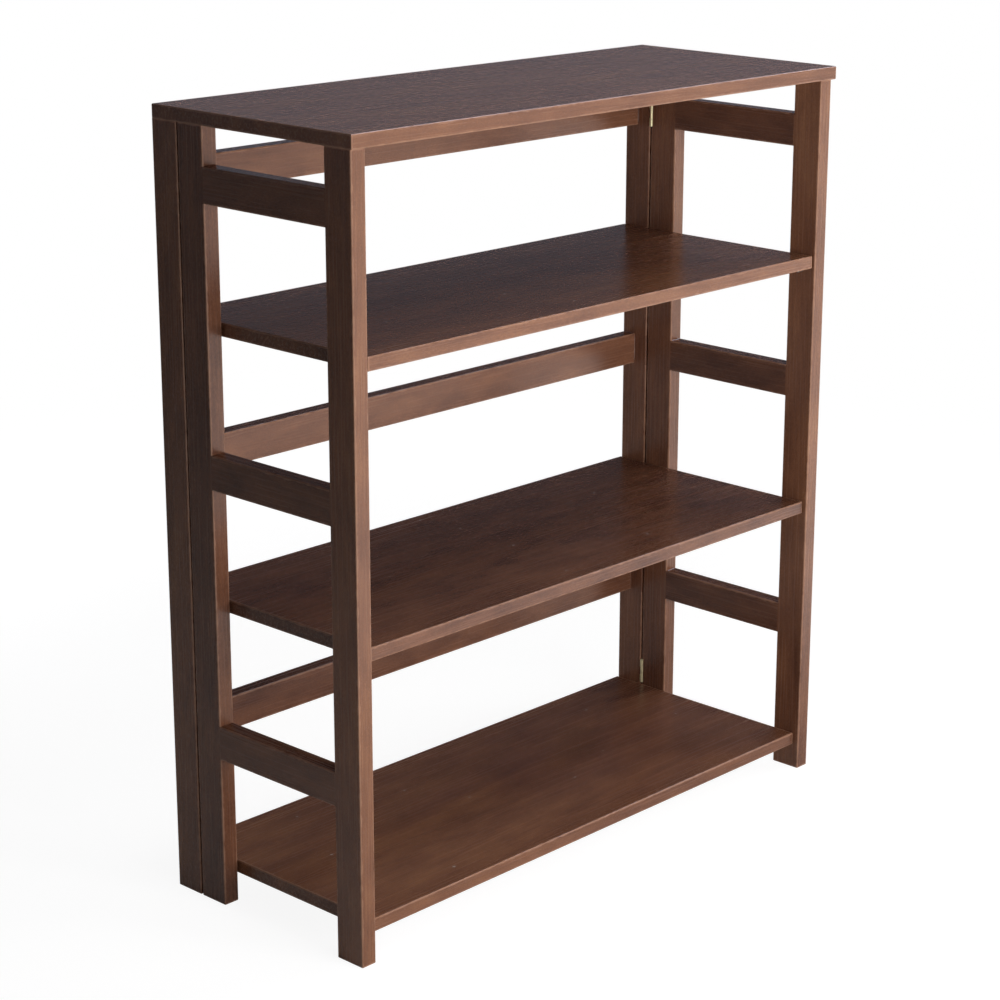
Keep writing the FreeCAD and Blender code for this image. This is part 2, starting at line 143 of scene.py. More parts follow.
class StageSettings(bpy.types.PropertyGroup):
    """Floor, lamps and background."""

    floor: colour("Floor", "The pale studio floor", (0.72, 0.72, 0.72))
    backdrop_tint: colour("Backdrop tint", "Tint of the backdrop in the lacquer", (0.76, 0.81, 1.0))
    front: power("Front lamp", "Power of the main soft box, in front", 16.7)
    left: power("Left lamp", "Power of the soft box left of the front", 4.2)
    right: power("Right lamp", "Power of the soft box at the right", 13.0)
    low: power("Low lamp", "Power of the lowest soft box, in front", 4.8)
    above: power("Overhead lamp", "Power of the soft box above the front edge", 5.0)
    rear: power("Rear lamp", "Power of the soft box behind", 9.0)
    ambient: share("Ambient", "Strength of the light from all around", 0.02)
    backdrop_gloss: share("Backdrop in gloss", "Brightness of the backdrop's foot in gloss", 0.42)
    ceiling_gloss: share("Ceiling in gloss", "Brightness of the ceiling in gloss", 0.60)
    soft_box_gloss: FloatProperty(
        name="Soft box in gloss",
        description="Brightness of the soft box that draws a line of light on the edges",
        default=11.0,
        min=0,
    )
    floor_gloss: share("Floor in gloss", "How white the floor is in gloss", 0.10)
    shadow: share("Shadow", "How much of the floor's shadow shows", 0.30)


# Node trees


class Value:
    """A number that varies over a surface: a socket, with arithmetic that adds Math nodes."""

    def __init__(self, shader, socket):
        self.shader = shader
        self.socket = socket

    def math(self, operation, *terms):
        """A Math node on any values and numbers."""
        return self.shader.node("ShaderNodeMath", {"operation": operation}, dict(enumerate(terms)))

    def __add__(self, other):
        return self.math("ADD", self, other)

    __radd__ = __add__

    def __mul__(self, other):
        return self.math("MULTIPLY", self, other)

    __rmul__ = __mul__

    def __sub__(self, other):
        return self.math("SUBTRACT", self, other)

    def __rsub__(self, other):
        return self.math("SUBTRACT", other, self)

    def __truediv__(self, other):
        return self.math("DIVIDE", self, other)

    def __pow__(self, other):
        return self.math("POWER", self, other)

    def __abs__(self):
        return self.math("ABSOLUTE", self)

    def part(self):
        """The part after the decimal point."""
        return self.math("FRACT", self)

    def least(self, other):
        """The smaller of two."""
        return self.math("MINIMUM", self, other)

    def most(self, other):
        """The larger of two."""
        return self.math("MAXIMUM", self, other)

    def step(self, low, high):
        """A smooth step from 0 at low to 1 at high. Low may be the larger."""
        return self.shader.node(
            "ShaderNodeMapRange",
            {"interpolation_type": "SMOOTHSTEP"},
            {"Value": self, "From Min": low, "From Max": high},
        )


class Shader:
    """A node tree, filled by one method that adds a node."""

    MIX_FACTOR, MIX_A, MIX_B, MIX_RESULT = 0, 6, 7, 2

    def __init__(self, tree):
        self.tree = tree
        tree.nodes.clear()

    @classmethod
    def of_material(cls, name):
        """The empty node tree of a new material."""
        material = bpy.data.materials.new(name)
        material.use_nodes = True
        shader = cls(material.node_tree)
        shader.material = material
        return shader

    def node(self, kind, settings=None, inputs=None, output=0):
        """A node with its settings, then its sockets set or linked. Gives one output."""
        made = self.tree.nodes.new(kind)
        for name, value in (settings or {}).items():
            if name == "stops":
                self.set_stops(made.color_ramp, value)
            else:
                setattr(made, name, value)
        for name, value in (inputs or {}).items():
            if isinstance(value, Value):
                self.tree.links.new(value.socket, made.inputs[name])
            else:
                made.inputs[name].default_value = value
        return Value(self, made.outputs[output] if made.outputs else None)

    def set_stops(self, ramp, stops):
        """Colours of a ramp by their position from 0 to 1."""
        while len(ramp.elements) < len(stops):
            ramp.elements.new(1)
        for element, (position, tint) in zip(ramp.elements, stops):
            element.position = position
            element.color = (*tint, 1)

    def mix(self, factor, a, b):
        """Two colours mixed by a factor."""
        a, b = ((*c, 1) if not isinstance(c, Value) else c for c in (a, b))
        return self.node(
            "ShaderNodeMix",
            {"data_type": "RGBA", "blend_type": "MIX", "clamp_factor": True},
            {self.MIX_FACTOR: factor, self.MIX_A: a, self.MIX_B: b},
            self.MIX_RESULT,
        )

    def place(self, scale=1 / MM):
        """Object coordinates, in millimetres unless scaled otherwise, as three values."""
        point = self.node("ShaderNodeTexCoord", output="Object")
        scaled = self.node(
            "ShaderNodeVectorMath", {"operation": "SCALE"}, {0: point, "Scale": scale}
        )
        parts = self.node("ShaderNodeSeparateXYZ", inputs={0: scaled}).socket.node
        return [Value(self, socket) for socket in parts.outputs]

    def vector(self, x, y, z):
        """Three values as one vector, or as a colour."""
        return self.node("ShaderNodeCombineXYZ", inputs={"X": x, "Y": y, "Z": z})

    def noise(self, point, detail=2.0, roughness=0.5):
        """Smooth noise round 0.5, with features about one unit of the point wide."""
        return self.node(
            "ShaderNodeTexNoise",
            {"noise_dimensions": "3D"},
            {"Vector": point, "Scale": 1.0, "Detail": detail, "Roughness": roughness},
        )

    def surface(self, **inputs):
        """The principled surface of a material, wired to its output."""
        named = {name.replace("_", " "): value for name, value in inputs.items()}
        named = {
            name: (*value, 1) if name == "Base Color" and not isinstance(value, Value) else value
            for name, value in named.items()
        }
        bsdf = self.node("ShaderNodeBsdfPrincipled", inputs=named)
        self.node("ShaderNodeOutputMaterial", inputs={"Surface": bsdf})
        return self.material


# Wood

# Noise in the wood: length and width of a feature in millimetres, then detail and roughness
LAYERS = {
    "wobble": (320.0, 70.0, 1.0, 0.5),
    "tremble": (60.0, 7.0, 2.0, 0.5),
    "blotch": (230.0, 45.0, 3.0, 0.5),
    "mottle": (62.0, 22.0, 2.0, 0.5),
    "streak": (150.0, 3.2, 3.0, 0.6),
    "fibre": (26.0, 0.8, 3.0, 0.65),
    "fleck": (2.0, 1.3, 2.0, 0.6),
    "pore": (7.0, 0.5, 1.0, 0.5),
}

# How much each layer changes the stain's tone, which runs from 0, deep, to 1, warm
TONE = 0.51
WEIGHTS = {"blotch": 0.45, "mottle": 0.52, "streak": 0.09, "fibre": 0.16, "fleck": 0.55}
LATE_WOOD_DARKER = 0.07
LATE_WOOD_SHARE = 0.3
PORES_DARKER = 0.12
END_DEPTH, ENDS_DARKER = 0.5, 0.05
STAIN_STOPS = (0.05, 0.50, 0.95)

# Each board is cut from its own stretch of the log, and the log leans a little in it
STRETCH = 613.0
LEANS = (0.055, -0.048, 0.041)

# The pith's place off the middle, in millimetres: across for board number 0, how much that
# changes from number to number, and through
UPRIGHT_PITH = (21.0, 8.0, 74.0)
RAIL_PITH = (34.0, -3.0, 66.0)
FLAT_PITH = (30.0, 22.0, 58.0)

# How far the rings stray across and through a board, and tremble, in millimetres
STRAY_ACROSS, STRAY_THROUGH, TREMBLE = 20.0, 14.0, 1.8

# The parts of a year at which late wood starts, is dense and ends
LATE_FROM, LATE_FULL, LATE_END = 0.35, 0.88, 0.93

# The levels of the pore noise at which a pore starts and is at its deepest
PORE_FADE, PORE_FULL = 0.10, 0.20

# The lighter band along an edge, partly stain wear and partly a painted highlight, and how far it
# strays, in millimetres
RUBBED_AND_HIGHLIT_FADE, RUBBED_AND_HIGHLIT_FULL = 1.9, 0.4
RUBBED_AND_HIGHLIT_PATCH, RUBBED_AND_HIGHLIT_LEVEL, RUBBED_AND_HIGHLIT_STRAY = 11.0, 0.42, 3.6

# Scuffs lie one to a cell, where a board was handled and off its edges, in millimetres
SCUFF_CELL = (92.0, 74.0)
HANDLED_PATCH = (90.0, 60.0)
HANDLED_FADE, HANDLED_FULL = 0.50, 0.60
SCUFF_SPREAD, SCUFF_RAGGED = 80.0, 3.0
SCUFF_FADE, SCUFF_FULL = 1.9, 0.9
SCUFF_STRENGTH = 0.75
OFF_EDGE_FADE, OFF_EDGE_FULL = 3.0, 6.0

# The lacquer: how much rougher each layer makes it, and its relief in millimetres
ROUGHER = {"streak": 0.06, "pores": 0.03, "worn_and_highlit": 0.10}
SWELL_SIZE = (80.0, 30.0)
SWELL_HEIGHT, FIBRE_HEIGHT, PORE_DEPTH = 0.25, 0.0015, 0.002
RELIEF_STRENGTH = 0.3
LACQUER_IOR = 1.42

# Farther off than any face of a board, in millimetres
FAR = 1000.0


class Board:
    """One board's box in millimetres, and the way its grain runs."""

    def __init__(self, node, grain):
        low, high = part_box(node)
        self.node = node
        self.low = [v / MM for v in low]
        self.high = [v / MM for v in high]
        self.middle = [(a + b) / 2 for a, b in zip(self.low, self.high)]
        self.grain = AXES[grain]
        others = [axis for axis in range(3) if axis != self.grain]
        self.wide, self.thick = sorted(others, key=self.size, reverse=True)
        self.glued_ends = False
        self.joint_axis = None
        self.joint_at_high = False
        self.joint_spans = []

    def size(self, axis):
        """The board's length along an axis."""
        return self.high[axis] - self.low[axis]


def band(value, low, high):
    """1 between two levels and 0 outside them."""
    return value.math("GREATER_THAN", value, low) * value.math("LESS_THAN", value, high)


def edge_distance(point, board):
    """Distance from a surface point to the nearest free edge of its board, in millimetres.

    Along each axis it is the distance to the nearer of two faces. On a face one of these is
    nought, and near an edge a second one is small, so the middle one of the three is it.
    A glued face is moved far off, at the heights where a rail is glued on.
    """
    spans = []
    for axis in range(3):
        to_low = point[axis] - board.low[axis]
        to_high = board.high[axis] - point[axis]
        if board.joint_axis == axis:
            height = point[AXES["z"]]
            glued = sum(band(height, bottom, top) for bottom, top in board.joint_spans) * FAR
            if board.joint_at_high:
                to_high = to_high + glued
            else:
                to_low = to_low + glued
        nearest = to_low.least(to_high)
        if axis == board.grain and board.glued_ends:
            nearest = nearest + FAR
        spans.append(nearest)
    a, b, c = spans
    return a.least(b).most(a.most(b).least(c))


def wood(board, settings, number, pith, marks=0.0):
    """Stained, lacquered wood cut from a log.

    The log's pith runs along the grain, off the board's middle by pith = (across, through)
    in millimetres and not quite parallel to it. Rings are equal steps of distance from the
    pith, with some wobble: long arches on a wide face, stripes on an edge. Fibres, pores and
    blotches are noise drawn out along the grain. Marks is the share of pale scuffs.
    """
    shader = Shader.of_material("wood_" + board.node)
    point = shader.place()
    shift = STRETCH * number
    along = point[board.grain] - board.middle[board.grain]
    across = point[board.wide] - board.middle[board.wide]
    through = point[board.thick] - board.middle[board.thick]
    to_end = board.size(board.grain) / 2 - abs(along)

    def drawn(name):
        """One layer of noise, drawn out along the grain and moved to swing round 0."""
        long, wide, detail, roughness = LAYERS[name]
        stretched = shader.vector((along + shift) / long, (across + shift) / wide, through / wide)
        return shader.noise(stretched, detail, roughness) - 0.5

    wobble = drawn("wobble")
    lean = LEANS[number % len(LEANS)]
    side = across + pith[0] + wobble * STRAY_ACROSS
    down = through + pith[1] + along * lean + wobble * STRAY_THROUGH
    radius = (side * side + down * down) ** 0.5
    year = ((radius + drawn("tremble") * TREMBLE) / (settings.ring_width / MM)).part()
    late = year.step(LATE_FROM, LATE_FULL) * year.step(1.0, LATE_END)
    pores = drawn("pore").step(PORE_FADE, PORE_FULL)
    layers = {name: drawn(name) for name in WEIGHTS}
    streak, fibre = layers["streak"], layers["fibre"]

    # Each board's tone: partly its stain, partly painted light and shading, with a painted gradient
    # of light along some boards
    stain_and_painted_shade = STAIN_AND_PAINTED_SHADES.get(board.node, 0.0)
    if board.node in PAINTED_LIGHT_TILTS:
        stain_and_painted_shade = stain_and_painted_shade + along * (PAINTED_LIGHT_TILTS[board.node] / (board.size(board.grain) / 2))
    tone = (
        TONE
        + stain_and_painted_shade
        + sum(layers[name] * weight for name, weight in WEIGHTS.items())
        - (late - LATE_WOOD_SHARE) * LATE_WOOD_DARKER
        - pores * PORES_DARKER
        - to_end.step(END_DEPTH, 0.0) * ENDS_DARKER
    )
    stops = list(zip(STAIN_STOPS, (settings.deep, settings.brown, settings.warm)))
    stain = shader.node("ShaderNodeValToRGB", {"stops": stops}, {"Fac": tone})

    edge = edge_distance(point, board)
    patch = shader.noise(shader.vector(*(p / RUBBED_AND_HIGHLIT_PATCH for p in point)), detail=3.0)
    # Lighter eased edges: partly stain wear, partly a painted highlight
    worn_and_highlit = (edge - (patch - RUBBED_AND_HIGHLIT_LEVEL) * RUBBED_AND_HIGHLIT_STRAY).step(RUBBED_AND_HIGHLIT_FADE, RUBBED_AND_HIGHLIT_FULL)
    stain = shader.mix(worn_and_highlit * settings.edge_wear_and_highlight, stain, settings.rubbed_and_highlit)
    if marks:
        long, wide = SCUFF_CELL
        nicks = shader.node(
            "ShaderNodeTexVoronoi",
            {"voronoi_dimensions": "2D"},
            {"Vector": shader.vector(along / long + number, across / wide, 0.0), "Scale": 1.0},
        )
        long, wide = HANDLED_PATCH
        hands = shader.noise(shader.vector(along / long, across / wide, number))
        handled = hands.step(HANDLED_FADE, HANDLED_FULL)
        nick = (nicks * SCUFF_SPREAD + fibre * SCUFF_RAGGED).step(SCUFF_FADE, SCUFF_FULL)
        nick = nick * edge.step(OFF_EDGE_FADE, OFF_EDGE_FULL)
        stain = shader.mix(nick * handled * marks, stain, settings.scuff)

    rough = {"streak": streak, "pores": pores, "worn_and_highlit": worn_and_highlit}
    gloss = settings.lacquer_roughness + sum(rough[name] * more for name, more in ROUGHER.items())
    long, wide = SWELL_SIZE
    swell = shader.noise(shader.vector(along / long, across / wide, through / wide), detail=1.0)
    height = swell * SWELL_HEIGHT + fibre * FIBRE_HEIGHT - pores * PORE_DEPTH
    relief = shader.node(
        "ShaderNodeBump", inputs={"Strength": RELIEF_STRENGTH, "Distance": MM, "Height": height}
    )
    return shader.surface(Base_Color=stain, Roughness=gloss, IOR=LACQUER_IOR, Normal=relief)


def pith_place(kind, number):
    """Where the pith lies off the middle of one board of a kind, in millimetres."""
    across, change, through = kind
    return across + change * number, through


def paint(node, material):
    """A CAD node's material slots, all given one material."""
    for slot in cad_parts[node].material_slots:
        slot.material = material


def rail_spans(rails):
    """Bottom and top of each rail, in millimetres."""
    return [(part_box(rail)[0].z / MM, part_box(rail)[1].z / MM) for rail in rails]


class BOOKCASE_OT_uprights(bpy.types.Operator):
    """Finish the six stiles, whose grain runs up"""

    bl_idname = "bookcase.uprights"
    bl_label = "Stiles"

    def execute(self, context):
        settings = context.scene.bookcase_wood
        for number, node in enumerate(UPRIGHTS):
            board = Board(node, "z")
            side, name = node.split("_")[:2]
            if name == "back":
                board.joint_axis = AXES["x"]
                board.joint_at_high = side == "left"
                board.joint_spans = rail_spans(BACK_RAILS)
            else:
                board.joint_axis = AXES["y"]
                board.joint_at_high = name == "front"
                board.joint_spans = rail_spans([r for r in SIDE_RAILS if r.startswith(side)])
            paint(node, wood(board, settings, number, pith_place(UPRIGHT_PITH, number)))
        return {"FINISHED"}


class BOOKCASE_OT_rails(bpy.types.Operator):
    """Finish the rails of the back frame and the side frames"""

    bl_idname = "bookcase.rails"
    bl_label = "Rails"

    def execute(self, context):
        settings = context.scene.bookcase_wood
        first = len(UPRIGHTS)
        for number, node in enumerate(BACK_RAILS + SIDE_RAILS, first):
            board = Board(node, "x" if node in BACK_RAILS else "y")
            board.glued_ends = True
            paint(node, wood(board, settings, number, pith_place(RAIL_PITH, number)))
        return {"FINISHED"}


class BOOKCASE_OT_flat_boards(bpy.types.Operator):
    """Finish the shelves and the top board, whose grain runs from side to side"""

    bl_idname = "bookcase.flat_boards"
    bl_label = "Shelves and top"

    def execute(self, context):
        settings = context.scene.bookcase_wood
        first = len(UPRIGHTS + BACK_RAILS + SIDE_RAILS)
        for number, node in enumerate(SHELVES + ["top_board"], first):
            board = Board(node, "x")
            pith = pith_place(FLAT_PITH, number % 3)
            paint(node, wood(board, settings, number, pith, marks=SCUFF_STRENGTH))
        return {"FINISHED"}


# Lacquer beads

BEAD_STEPS, BEAD_ARC = 24, 7
BEAD_SUNK = -0.04
BEAD_END_POWER = 8
RIPPLE, RIPPLE_TURNS, RIPPLE_SHIFT = 0.14, 9, 40
BEAD_CLOUD = 6.0
BEAD_ROUGHNESS, BEAD_ROUGHER = 0.16, 0.12


def bead_mesh(start, end, first, second, radius):
    """A fillet of lacquer along an inside corner, as one closed surface.

    The path runs straight from start to end. Across it the profile starts in the corner,
    runs along the first board's face, comes back in a hollow quarter circle to the second
    board's face, and returns to the corner. The profile's size along the path is
    1 - (2t - 1)^8, with a slow ripple. Each end closes in a fan round one point.
    """
    t = np.linspace(0.0, 1.0, BEAD_STEPS + 2)[1:-1]
    ripple = 1 - RIPPLE + RIPPLE * np.sin(RIPPLE_TURNS * t + start.z * RIPPLE_SHIFT)
    size = radius * (1 - (2 * t - 1) ** BEAD_END_POWER) * ripple
    turn = np.linspace(0.0, math.pi / 2, BEAD_ARC)
    across = np.concatenate(([BEAD_SUNK, 1.0], 1 - np.sin(turn), [BEAD_SUNK]))
    upward = np.concatenate(([BEAD_SUNK, BEAD_SUNK], 1 - np.cos(turn), [1.0]))
    a, b, low, high = (np.array(v) for v in (first, second, start, end))
    ring = across[:, None] * a + upward[:, None] * b
    line = low + t[:, None] * (high - low)
    rings = (line[:, None] + size[:, None, None] * ring).reshape(-1, 3)
    points = np.concatenate((rings, [low, high]))
    count = len(across)
    here = np.arange(count)
    there = (here + 1) % count
    row = np.arange(BEAD_STEPS - 1)[:, None] * count
    quads = np.stack((row + here, row + there, row + there + count, row + here + count), -1)
    last = (BEAD_STEPS - 1) * count
    fans = (
        np.stack((there, here, here * 0 + len(rings)), -1),
        np.stack((here + last, there + last, here * 0 + len(rings) + 1), -1),
    )
    faces = quads.reshape(-1, 4).tolist() + np.concatenate(fans).tolist()
    if np.dot(np.cross(a, b), high - low) < 0:
        faces = [face[::-1] for face in faces]
    return points, faces


def add_beads(name, body, corners, radius, material):
    """One piece that holds the beads of a frame."""
    points, faces = [], []
    for corner in corners:
        some_points, some_faces = bead_mesh(*corner, radius)
        faces += [[number + len(points) for number in face] for face in some_faces]
        points += some_points.tolist()
    mesh = bpy.data.meshes.new(name)
    mesh.from_pydata(points, [], faces)
    mesh.shade_smooth()
    mesh.materials.append(material)
    piece = bpy.data.objects.new(name, mesh)
    bpy.context.scene.collection.objects.link(piece)
    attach(piece, body)


def side_frame_corners(side):
    """Inside corners of a side frame, where rails meet the stiles' edges."""
    front, rear = (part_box(f"{side}_{name}_stile") for name in ("front", "rear"))
    left, right = front[0].x + EASED, front[1].x - EASED
    corners = []
    for rail in (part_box(r) for r in SIDE_RAILS if r.startswith(side)):
        for z, up in ((rail[1].z, 1), (rail[0].z, -1)):
            for y, inward in ((front[1].y, 1), (rear[0].y, -1)):
                ends = Vector((left, y, z)), Vector((right, y, z))
                corners.append((*ends, Vector((0, inward, 0)), Vector((0, 0, up))))
    return corners


def back_frame_corners():
    """Inside corners of the back frame: over, under and in front of each rail's ends."""
    corners = []
    for side, inward in (("left", 1), ("right", -1)):
        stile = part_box(f"{side}_back_stile")
        x = stile[1].x if side == "left" else stile[0].x
        for rail in map(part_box, BACK_RAILS):
            front, rear = rail[0].y, rail[1].y - EASED
            for z, up in ((rail[1].z, 1), (rail[0].z, -1)):
                ends = Vector((x, front + EASED, z)), Vector((x, rear, z))
                corners.append((*ends, Vector((inward, 0, 0)), Vector((0, 0, up))))
            ends = (
                Vector((x, front, rail[0].z + EASED)),
                Vector((x, front, rail[1].z - EASED)),
            )
            corners.append((*ends, Vector((inward, 0, 0)), Vector((0, -1, 0))))
    return corners


class BOOKCASE_OT_lacquer_beads(bpy.types.Operator):
    """Add the lacquer that gathers in the frames' inside corners"""

    bl_idname = "bookcase.lacquer_beads"
    bl_label = "Lacquer beads"

    def execute(self, context):
        settings = context.scene.bookcase_wood
        shader = Shader.of_material("lacquer_bead")
        point = shader.place()
        cloud = shader.noise(shader.vector(*(p / BEAD_CLOUD for p in point)))
        pooled = shader.surface(
            Base_Color=shader.mix(cloud, settings.deep, settings.brown),
            Roughness=BEAD_ROUGHNESS + cloud * BEAD_ROUGHER,
        )
        size = settings.bead_radius
        add_beads("back_frame_beads", "back_frame", back_frame_corners(), size, pooled)
        for side in SIDES:
            corners = side_frame_corners(side)
            add_beads(f"{side}_side_frame_beads", f"{side}_side_frame", corners, size, pooled)
        return {"FINISHED"}


# Metal and dowels

# Fine lines and tarnish on metal: their sizes in millimetres, and how much they show
LINE_LENGTH, LINE_WIDTH, LINES_ROUGHER = 12.0, 0.25, 0.16
TARNISH_SIZE, TARNISH_FADE, TARNISH_FULL = 4.0, 0.45, 0.75
TARNISH_SHARE, TARNISH_TINT, TARNISH_ROUGHER = 0.6, 0.55, 0.08
BRASS_ROUGHNESS, STEEL_ROUGHNESS = 0.34, 0.32

# The lacquer over the brass hides part of its shine
BRASS_METALLIC = 0.6

# Flecks in bare beech, the same way
FLECK_SIZES = (3.0, 3.0, 0.6)
FLECK_FADE, FLECK_FULL, FLECK_TINT = 0.55, 0.7, 0.6
BEECH_ROUGHNESS, FLECKS_ROUGHER = 0.65, 0.1


def metal(name, tint, roughness, line_axis, metallic=1.0):
    """Plain metal with fine drawn lines along one axis and faint tarnish."""
    shader = Shader.of_material(name)
    point = shader.place()
    sizes = [LINE_LENGTH if axis == line_axis else LINE_WIDTH for axis in range(3)]
    lines = shader.noise(shader.vector(*(p / size for p, size in zip(point, sizes))))
    tarnish = shader.noise(shader.vector(*(p / TARNISH_SIZE for p in point)), detail=3.0)
    dull = [c * TARNISH_TINT for c in tint]
    shown = tarnish.step(TARNISH_FADE, TARNISH_FULL) * TARNISH_SHARE
    return shader.surface(
        Base_Color=shader.mix(shown, tint, dull),
        Metallic=metallic,
        Roughness=roughness + (lines - 0.5) * LINES_ROUGHER + tarnish * TARNISH_ROUGHER,
    )


def beech(name, tint):
    """Bare dowel wood with short dark flecks."""
    shader = Shader.of_material(name)
    scaled = [p / size for p, size in zip(shader.place(), FLECK_SIZES)]
    fleck = shader.noise(shader.vector(*scaled), detail=3.0)
    dark = [c * FLECK_TINT for c in tint]
    return shader.surface(
        Base_Color=shader.mix(fleck.step(FLECK_FADE, FLECK_FULL), tint, dark),
        Roughness=BEECH_ROUGHNESS + fleck * FLECKS_ROUGHER,
    )


class BOOKCASE_OT_fittings(bpy.types.Operator):
    """Finish the hinges, screws, pins and dowels"""

    bl_idname = "bookcase.fittings"
    bl_label = "Fittings"

    def execute(self, context):
        settings = context.scene.bookcase_metal
        brass = metal("brass", settings.brass, BRASS_ROUGHNESS, AXES["z"], BRASS_METALLIC)
        steel = metal("steel", settings.steel, STEEL_ROUGHNESS, AXES["x"])
        bare = beech("dowel_beech", settings.dowel)
        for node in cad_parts:
            if "hinge" in node:
                paint(node, brass)
            elif "dowels" in node:
                paint(node, bare)
            elif "pins" in node:
                paint(node, steel)
        return {"FINISHED"}


# Stage

CAMERA_PLACE = Vector((-2.0032, -1.9059, 1.2203))
CAMERA_AZIMUTH = -48.073
CAMERA_ELEVATION = 15.981
CAMERA_ROLL = -0.592
CAMERA_LENS = 91.64
CAMERA_SHIFT = (-0.0815, -0.0297)
CAMERA_CLIP = (0.05, 60)


def camera_matrix():
    """The camera's place and turn: back from its azimuth and elevation, then rolled."""
    a, e, roll = (math.radians(v) for v in (CAMERA_AZIMUTH, CAMERA_ELEVATION, CAMERA_ROLL))
    back = Vector((math.sin(a) * math.cos(e), -math.cos(a) * math.cos(e), math.sin(e)))
    right = (-back).cross(Vector((0, 0, 1))).normalized()
    down = (-back).cross(right)
    turned_right = right * math.cos(roll) + down * math.sin(roll)
    turned_down = down * math.cos(roll) - right * math.sin(roll)
    turn = Matrix((turned_right, -turned_down, back)).transposed()
    return Matrix.Translation(CAMERA_PLACE) @ turn.to_4x4()


def add_camera():
    """The camera at its place, with its lens and shift."""
    data = bpy.data.cameras.new("camera")
    data.lens = CAMERA_LENS
    data.shift_x, data.shift_y = CAMERA_SHIFT
    data.clip_start, data.clip_end = CAMERA_CLIP
    camera = bpy.data.objects.new("camera", data)
    bpy.context.scene.collection.objects.link(camera)
    camera.matrix_world = camera_matrix()
    bpy.context.scene.camera = camera


LAMP_SIZE = 0.9
AIM = Vector((0, 0, 0.45))

# Azimuth in degrees, 0 in front and 90 at the right, then height and distance in metres
LAMPS = {
    "front": (-3, 0.76, 1.6),
    "left": (-25, 0.55, 1.6),
    "right": (62, 0.58, 1.8),
    "low": (12, 0.20, 1.6),
    "above": (0, 2.00, 1.66),
    "rear": (184, 0.60, 2.0),
}


def add_lamp(name, azimuth, height, distance, watts):
    """A square soft box aimed at the middle of the bookcase.

    It lights the matt colour only. In the lacquer's gloss the backdrop and the floor show,
    so that no lamp burns out a shelf that is seen at a low angle.
    """
    data = bpy.data.lights.new(name, "AREA")
    data.shape = "SQUARE"
    data.size = LAMP_SIZE
    data.energy = watts
    lamp = bpy.data.objects.new(name, data)
    bpy.context.scene.collection.objects.link(lamp)
    lamp.visible_camera = False
    lamp.visible_glossy = False
    a = math.radians(azimuth)
    reach = math.sqrt(distance**2 - (height - AIM.z) ** 2)
    place = Vector((reach * math.sin(a), -reach * math.cos(a), height))
    turn = (AIM - place).to_track_quat("-Z", "Y").to_matrix().to_4x4()
    lamp.matrix_world = Matrix.Translation(place) @ turn


def ray_kinds(shader):
    """1 for rays that see the background itself, and 1 for rays that see it in gloss."""
    path = shader.node("ShaderNodeLightPath").socket.node.outputs
    names = ("Is Camera Ray", "Is Transmission Ray", "Is Glossy Ray")
    camera, through, glossy = (Value(shader, path[name]) for name in names)
    return camera.most(through), glossy


# What the gloss shows, by the sine of its height, and the soft box by its direction and the
# cosine of the angle from it
FOOT_FADE, FOOT_FULL = 0.22, 0.13
CEILING_FADE, CEILING_FULL = 0.45, 0.65
SOFT_BOX = (0.706, 0.025, 0.707)
SOFT_BOX_FADE, SOFT_BOX_FULL = 0.93, 0.97


def light_world(settings):
    """White where it is seen, and dim as a light.

    In gloss it is a bright foot, a ceiling, and a soft box high at the right, which draws a
    thin line of light along the boards' upper front edges.
    """
    world = bpy.data.worlds.new("studio")
    world.use_nodes = True
    bpy.context.scene.world = world
    shader = Shader(world.node_tree)
    seen, glossy = ray_kinds(shader)
    point = shader.node("ShaderNodeTexCoord", output="Generated")
    parts = shader.node("ShaderNodeSeparateXYZ", inputs={0: point}).socket.node.outputs
    direction = [Value(shader, parts[name]) for name in "XYZ"]
    height = direction[2]
    towards_box = sum(part * along for part, along in zip(direction, SOFT_BOX))
    in_gloss = (
        height.step(FOOT_FADE, FOOT_FULL) * settings.backdrop_gloss
        + height.step(CEILING_FADE, CEILING_FULL) * settings.ceiling_gloss
        + towards_box.step(SOFT_BOX_FADE, SOFT_BOX_FULL) * settings.soft_box_gloss
    )
    unseen = (1 - glossy) * settings.ambient + glossy * in_gloss
    tint = shader.mix(glossy, (1.0, 1.0, 1.0), settings.backdrop_tint)
    light = shader.node(
        "ShaderNodeBackground", inputs={"Color": tint, "Strength": seen.most(unseen)}
    )
    shader.node("ShaderNodeOutputWorld", inputs={"Surface": light})


FLOOR_HALF = 7.0
FLOOR_ROUGHNESS = 0.9
NEAR_GLOW = 1.29

# Distances from the middle of the floor, in metres, at which its white and its glow set in
WHITE_FADE, WHITE_FULL = 0.8, 2.2
GLOW_FADE, GLOW_FULL = 0.5, 1.1

# The sweep in front and its brightest corner, by the cosine of the angle from them
SWEEP_FADE, SWEEP_FULL, SWEEP_GLOW = 0.15, 0.50, 0.6
CORNER_AZIMUTH = -48
CORNER_FADE, CORNER_FULL, CORNER_GLOW = 0.80, 0.95, 1.0


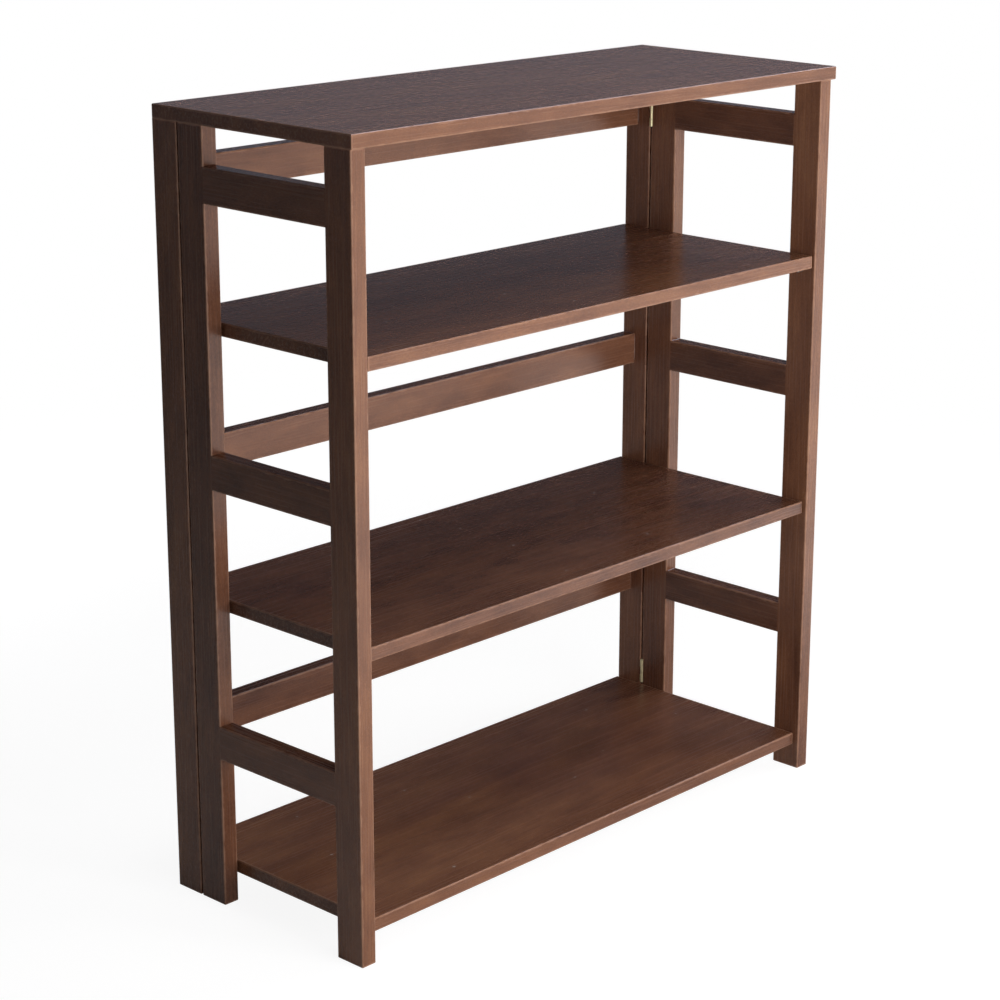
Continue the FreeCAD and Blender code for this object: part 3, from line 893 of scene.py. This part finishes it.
def add_floor(settings):
    """A flat pale floor that reads as white and keeps the bookcase's soft shadow.

    Near the bookcase the camera sees a share of the lit floor, and the rest is glow. Away
    from it the glow takes over, so that no horizon shows. In gloss the floor is as it is lit,
    but for a bright sweep in front, which the front faces and the rounded edges catch.
    """
    mesh = bpy.data.meshes.new("floor")
    corners = [(x * FLOOR_HALF, y * FLOOR_HALF, 0) for x, y in ((-1, -1), (1, -1), (1, 1), (-1, 1))]
    mesh.from_pydata(corners, [], [(0, 1, 2, 3)])
    floor = bpy.data.objects.new("floor", mesh)
    bpy.context.scene.collection.objects.link(floor)
    shader = Shader.of_material("floor")
    seen, glossy = ray_kinds(shader)
    x, y, _ = shader.place(scale=1.0)
    radius = (x * x + y * y) ** 0.5
    far = radius.step(WHITE_FADE, WHITE_FULL)
    a = math.radians(CORNER_AZIMUTH)
    outside = radius.step(GLOW_FADE, GLOW_FULL)
    sweep = (y / radius).step(-SWEEP_FADE, -SWEEP_FULL) * outside
    towards_corner = (x * math.sin(a) - y * math.cos(a)) / radius
    corner = towards_corner.step(CORNER_FADE, CORNER_FULL) * outside
    matt = shader.node(
        "ShaderNodeBsdfPrincipled",
        inputs={"Base Color": (*settings.floor, 1), "Roughness": FLOOR_ROUGHNESS},
    )
    caught = corner * CORNER_GLOW + sweep * SWEEP_GLOW
    strength = NEAR_GLOW - far * (NEAR_GLOW - 1) + glossy * caught
    white = shader.vector(strength, strength, strength)
    glow = shader.node("ShaderNodeEmission", inputs={"Color": white})
    mirrored = settings.floor_gloss + sweep * (1 - settings.floor_gloss)
    factor = seen * (1 - (1 - far) * settings.shadow) + glossy * mirrored
    mixed = shader.node("ShaderNodeMixShader", inputs={0: factor, 1: matt, 2: glow})
    shader.node("ShaderNodeOutputMaterial", inputs={"Surface": mixed})
    mesh.materials.append(shader.material)


class BOOKCASE_OT_stage(bpy.types.Operator):
    """Set up the floor, the lamps, the background and the camera"""

    bl_idname = "bookcase.stage"
    bl_label = "Stage"

    def execute(self, context):
        settings = context.scene.bookcase_stage
        add_floor(settings)
        light_world(settings)
        for name, place in LAMPS.items():
            add_lamp(name, *place, getattr(settings, name))
        add_camera()
        context.scene.view_settings.view_transform = "Standard"
        return {"FINISHED"}


# Panel and registration


class BOOKCASE_PT_panel(bpy.types.Panel):
    """The bookcase's steps and settings"""

    bl_idname = "BOOKCASE_PT_panel"
    bl_label = "Folding bookcase"
    bl_space_type = "VIEW_3D"
    bl_region_type = "UI"
    bl_category = "Bookcase"

    def draw(self, context):
        for operator in OPERATORS:
            self.layout.operator(operator.bl_idname)
        for name in SETTINGS:
            group = getattr(context.scene, name)
            for setting in group.bl_rna.properties.keys():
                if setting not in ("rna_type", "name"):
                    self.layout.prop(group, setting)


OPERATORS = (
    BOOKCASE_OT_uprights,
    BOOKCASE_OT_rails,
    BOOKCASE_OT_flat_boards,
    BOOKCASE_OT_lacquer_beads,
    BOOKCASE_OT_fittings,
    BOOKCASE_OT_stage,
)
SETTINGS = {
    "bookcase_wood": WoodSettings,
    "bookcase_metal": MetalSettings,
    "bookcase_stage": StageSettings,
}


def register():
    """Add the settings, the operators and the panel."""
    for group in SETTINGS.values():
        bpy.utils.register_class(group)
    for name, group in SETTINGS.items():
        setattr(bpy.types.Scene, name, PointerProperty(type=group))
    for operator in OPERATORS:
        bpy.utils.register_class(operator)
    bpy.utils.register_class(BOOKCASE_PT_panel)


def unregister():
    """Take the panel, the operators and the settings out again."""
    bpy.utils.unregister_class(BOOKCASE_PT_panel)
    for operator in reversed(OPERATORS):
        bpy.utils.unregister_class(operator)
    for name in SETTINGS:
        delattr(bpy.types.Scene, name)
    for group in SETTINGS.values():
        bpy.utils.unregister_class(group)


def main():
    """Run every step in order."""
    register()
    for operator in OPERATORS:
        family, name = operator.bl_idname.split(".")
        getattr(getattr(bpy.ops, family), name)()


if __name__ == "__main__":
    main()
